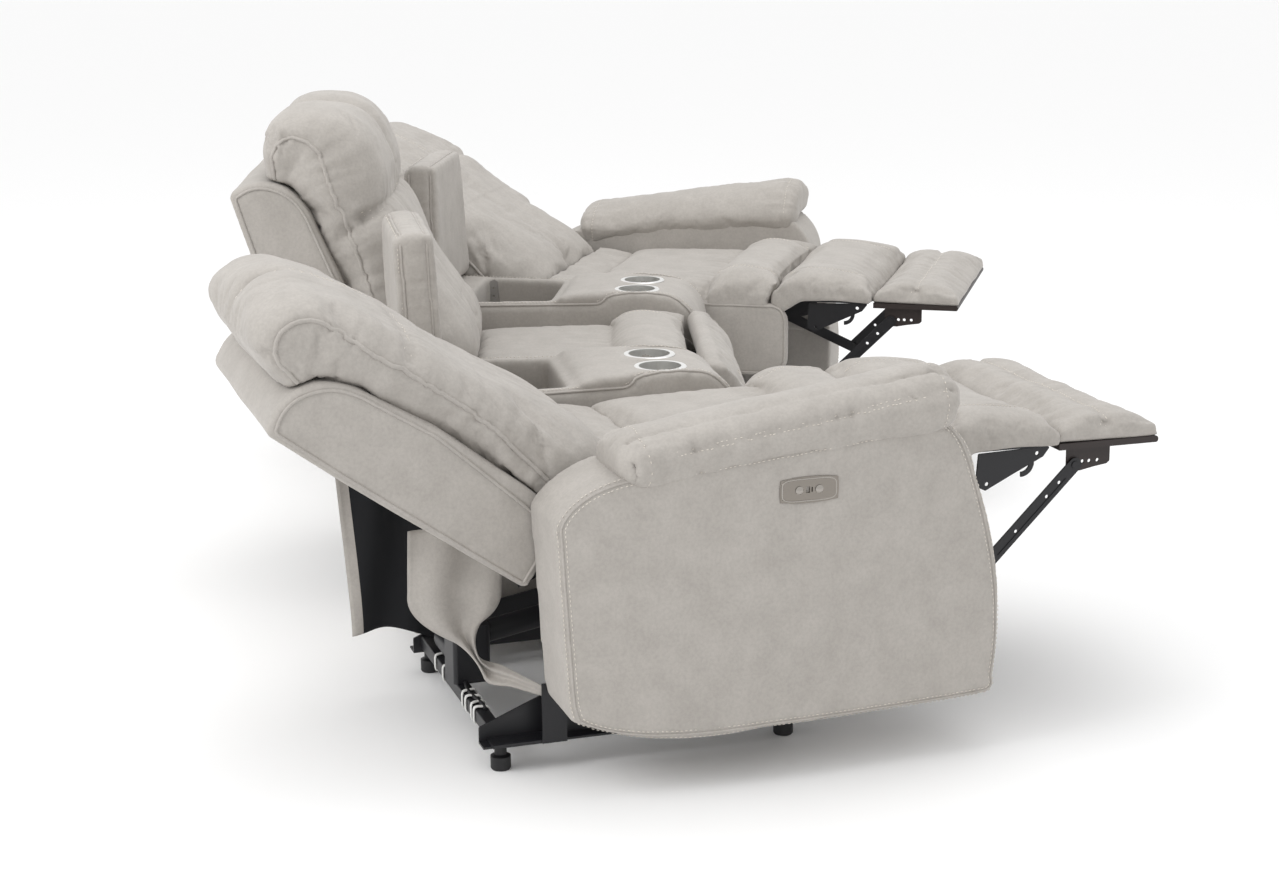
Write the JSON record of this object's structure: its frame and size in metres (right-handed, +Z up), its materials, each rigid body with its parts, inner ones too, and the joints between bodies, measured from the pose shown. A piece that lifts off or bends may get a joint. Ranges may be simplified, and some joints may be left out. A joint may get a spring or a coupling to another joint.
{
  "type": "reclining sofa",
  "caption": "Curved power reclining sofa with two wedge storage consoles, cup holders and padded arms; end seats stand reclined, the middle one upright.",
  "frame": {"origin": "floor level under the middle of the sofa's overall box", "axes": "+X along the sofa to the far end seat, -Y the way the middle seat faces, +Z up"},
  "size_m": [2.8724, 1.7812, 1.0436],
  "materials": {
    "upholstery": "matte mottled leather-look microfibre, warm light grey",
    "black_steel": "black powder coat",
    "board": "dark edge band",
    "black_plastic": "moulded, satin",
    "black_lining": "non-woven backing",
    "lead": "satin jacket",
    "plate_metal": "bronze-grey satin",
    "button_metal": "satin nickel",
    "hinge_chrome": "bright plate",
    "cup_steel": "brushed stainless"
  },
  "bodies": {
    "root": {"side_rails_near": "black_steel", "side_rails_middle": "black_steel", "side_rails_far": "black_steel", "cross_bars": "black_steel", "motors": "black_plastic", "feet": "black_plastic", "rear_linings": "black_lining", "rear_flaps": "upholstery", "wiring_loom": "lead", "arm_panel_near": "upholstery", "arm_pad_near": "upholstery", "arm_panel_far": "upholstery", "arm_pad_far": "upholstery", "control_plates": "plate_metal", "console_body_near": "upholstery", "console_body_far": "upholstery", "lid_hinges": "hinge_chrome", "cup_holders": "cup_steel"},
    "carriage_near": {"seat_box_near": "upholstery", "seat_cushion_near": "upholstery", "carriage_frame_near": "black_steel"},
    "back_near": {"back_shell_near": "upholstery", "back_cushion_near": "upholstery", "back_brackets_near": "black_steel"},
    "chaise_near": {"chaise_pad_near": "upholstery", "flap_brackets_near": "black_steel"},
    "footrest_near": {"footrest_board_near": "board", "footrest_pad_near": "upholstery"},
    "drive_near": {"drive_links_near": "black_steel"},
    "lift_near": {"lift_links_near": "black_steel"},
    "carriage_middle": {"seat_box_middle": "upholstery", "seat_cushion_middle": "upholstery", "carriage_frame_middle": "black_steel"},
    "back_middle": {"back_shell_middle": "upholstery", "back_cushion_middle": "upholstery", "back_brackets_middle": "black_steel"},
    "chaise_middle": {"chaise_pad_middle": "upholstery", "flap_brackets_middle": "black_steel"},
    "footrest_middle": {"footrest_board_middle": "board", "footrest_pad_middle": "upholstery"},
    "drive_middle": {"drive_links_middle": "black_steel"},
    "lift_middle": {"lift_links_middle": "black_steel"},
    "carriage_far": {"seat_box_far": "upholstery", "seat_cushion_far": "upholstery", "carriage_frame_far": "black_steel"},
    "back_far": {"back_shell_far": "upholstery", "back_cushion_far": "upholstery", "back_brackets_far": "black_steel"},
    "chaise_far": {"chaise_pad_far": "upholstery", "flap_brackets_far": "black_steel"},
    "footrest_far": {"footrest_board_far": "board", "footrest_pad_far": "upholstery"},
    "drive_far": {"drive_links_far": "black_steel"},
    "lift_far": {"lift_links_far": "black_steel"},
    "lid_near": {"console_lid_near": "upholstery"},
    "lid_far": {"console_lid_far": "upholstery"},
    "recline_key_near": {"recline_button_near": "button_metal"},
    "return_key_near": {"return_button_near": "button_metal"},
    "recline_key_far": {"recline_button_far": "button_metal"},
    "return_key_far": {"return_button_far": "button_metal"}
  },
  "joints": [
    {"name": "seat_slide_near", "type": "slide", "parent": "root", "child": "carriage_near", "axis": [0.2713, -0.946, 0.1776], "range_m": [-0.20831, 0]},
    {"name": "back_recline_near", "type": "hinge", "parent": "carriage_near", "child": "back_near", "pos_m": [-0.95857, 0.24949, 0.395], "axis": [0.9613, 0.2756, 0], "range_deg": [0, 36]},
    {"name": "footrest_swing_near", "type": "hinge", "parent": "carriage_near", "child": "chaise_near", "pos_m": [-0.76562, -0.4234, 0.5], "axis": [0.9613, 0.2756, 0], "range_deg": [0, 90]},
    {"name": "footrest_tip_near", "type": "hinge", "parent": "chaise_near", "child": "footrest_near", "pos_m": [-0.7116, -0.6118, 0.5], "axis": [0.9613, 0.2756, 0], "range_deg": [0, 8]},
    {"name": "drive_link_turn_near", "type": "hinge", "parent": "carriage_near", "child": "drive_near", "pos_m": [-0.80729, -0.27808, 0.37337], "axis": [0.9613, 0.2756, 0], "range_deg": [0, 101.02]},
    {"name": "lift_link_turn_near", "type": "hinge", "parent": "drive_near", "child": "lift_near", "pos_m": [-0.74792, -0.48513, 0.27722], "axis": [0.9613, 0.2756, 0], "range_deg": [-76.02, 0]},
    {"name": "seat_slide_middle", "type": "slide", "parent": "root", "child": "carriage_middle", "axis": [0, -0.9841, 0.1776], "range_m": [0, 0.20831]},
    {"name": "back_recline_middle", "type": "hinge", "parent": "carriage_middle", "child": "back_middle", "pos_m": [0, 0.58921, 0.358], "axis": [1, 0, 0], "range_deg": [-36, 0]},
    {"name": "footrest_swing_middle", "type": "hinge", "parent": "carriage_middle", "child": "chaise_middle", "pos_m": [0, -0.11079, 0.463], "axis": [1, 0, 0], "range_deg": [-90, 0]},
    {"name": "footrest_tip_middle", "type": "hinge", "parent": "chaise_middle", "child": "footrest_middle", "pos_m": [0, -0.11079, 0.267], "axis": [1, 0, 0], "range_deg": [-8, 0]},
    {"name": "drive_link_turn_middle", "type": "hinge", "parent": "carriage_middle", "child": "drive_middle", "pos_m": [0, 0.04038, 0.33637], "axis": [1, 0, 0], "range_deg": [-101.02, 0]},
    {"name": "lift_link_turn_middle", "type": "hinge", "parent": "drive_middle", "child": "lift_middle", "pos_m": [0, 0.17594, 0.14333], "axis": [1, 0, 0], "range_deg": [0, 76.02]},
    {"name": "seat_slide_far", "type": "slide", "parent": "root", "child": "carriage_far", "axis": [-0.2713, -0.946, 0.1776], "range_m": [-0.20831, 0]},
    {"name": "back_recline_far", "type": "hinge", "parent": "carriage_far", "child": "back_far", "pos_m": [0.95857, 0.24949, 0.395], "axis": [0.9613, -0.2756, 0], "range_deg": [0, 36]},
    {"name": "footrest_swing_far", "type": "hinge", "parent": "carriage_far", "child": "chaise_far", "pos_m": [0.76562, -0.4234, 0.5], "axis": [0.9613, -0.2756, 0], "range_deg": [0, 90]},
    {"name": "footrest_tip_far", "type": "hinge", "parent": "chaise_far", "child": "footrest_far", "pos_m": [0.7116, -0.6118, 0.5], "axis": [0.9613, -0.2756, 0], "range_deg": [0, 8]},
    {"name": "drive_link_turn_far", "type": "hinge", "parent": "carriage_far", "child": "drive_far", "pos_m": [0.80729, -0.27808, 0.37337], "axis": [0.9613, -0.2756, 0], "range_deg": [0, 101.02]},
    {"name": "lift_link_turn_far", "type": "hinge", "parent": "drive_far", "child": "lift_far", "pos_m": [0.74792, -0.48513, 0.27722], "axis": [0.9613, -0.2756, 0], "range_deg": [-76.02, 0]},
    {"name": "lid_hinge_near", "type": "hinge", "parent": "root", "child": "lid_near", "pos_m": [-0.50508, 0.50042, 0.568], "axis": [0.9903, 0.1392, 0], "range_deg": [0, 92.5]},
    {"name": "lid_hinge_far", "type": "hinge", "parent": "root", "child": "lid_far", "pos_m": [0.50508, 0.50042, 0.568], "axis": [0.9903, -0.1392, 0], "range_deg": [0, 92.5]},
    {"name": "recline_press_near", "type": "slide", "parent": "root", "child": "recline_key_near", "axis": [0.9613, 0.2756, 0], "range_m": [0, 0.0015], "stiffness_N_per_m": 500, "springref_m": -0.001},
    {"name": "return_press_near", "type": "slide", "parent": "root", "child": "return_key_near", "axis": [0.9613, 0.2756, 0], "range_m": [0, 0.0015], "stiffness_N_per_m": 500, "springref_m": -0.001},
    {"name": "recline_press_far", "type": "slide", "parent": "root", "child": "recline_key_far", "axis": [-0.9613, 0.2756, 0], "range_m": [0, 0.0015], "stiffness_N_per_m": 500, "springref_m": -0.001},
    {"name": "return_press_far", "type": "slide", "parent": "root", "child": "return_key_far", "axis": [-0.9613, 0.2756, 0], "range_m": [0, 0.0015], "stiffness_N_per_m": 500, "springref_m": -0.001}
  ],
  "couplings": [
    {"joint": "back_recline_near", "follows": "seat_slide_near", "rad_per_m": -3.0162},
    {"joint": "footrest_swing_near", "follows": "seat_slide_near", "rad_per_m": -7.5406},
    {"joint": "footrest_tip_near", "follows": "seat_slide_near", "rad_per_m": -0.67027},
    {"joint": "drive_link_turn_near", "follows": "seat_slide_near", "rad_per_m": -8.4643},
    {"joint": "lift_link_turn_near", "follows": "seat_slide_near", "rad_per_m": 6.3697},
    {"joint": "back_recline_middle", "follows": "seat_slide_middle", "rad_per_m": -3.0162},
    {"joint": "footrest_swing_middle", "follows": "seat_slide_middle", "rad_per_m": -7.5406},
    {"joint": "footrest_tip_middle", "follows": "seat_slide_middle", "rad_per_m": -0.67027},
    {"joint": "drive_link_turn_middle", "follows": "seat_slide_middle", "rad_per_m": -8.4643},
    {"joint": "lift_link_turn_middle", "follows": "seat_slide_middle", "rad_per_m": 6.3697},
    {"joint": "back_recline_far", "follows": "seat_slide_far", "rad_per_m": -3.0162},
    {"joint": "footrest_swing_far", "follows": "seat_slide_far", "rad_per_m": -7.5406},
    {"joint": "footrest_tip_far", "follows": "seat_slide_far", "rad_per_m": -0.67027},
    {"joint": "drive_link_turn_far", "follows": "seat_slide_far", "rad_per_m": -8.4643},
    {"joint": "lift_link_turn_far", "follows": "seat_slide_far", "rad_per_m": 6.3697}
  ]
}
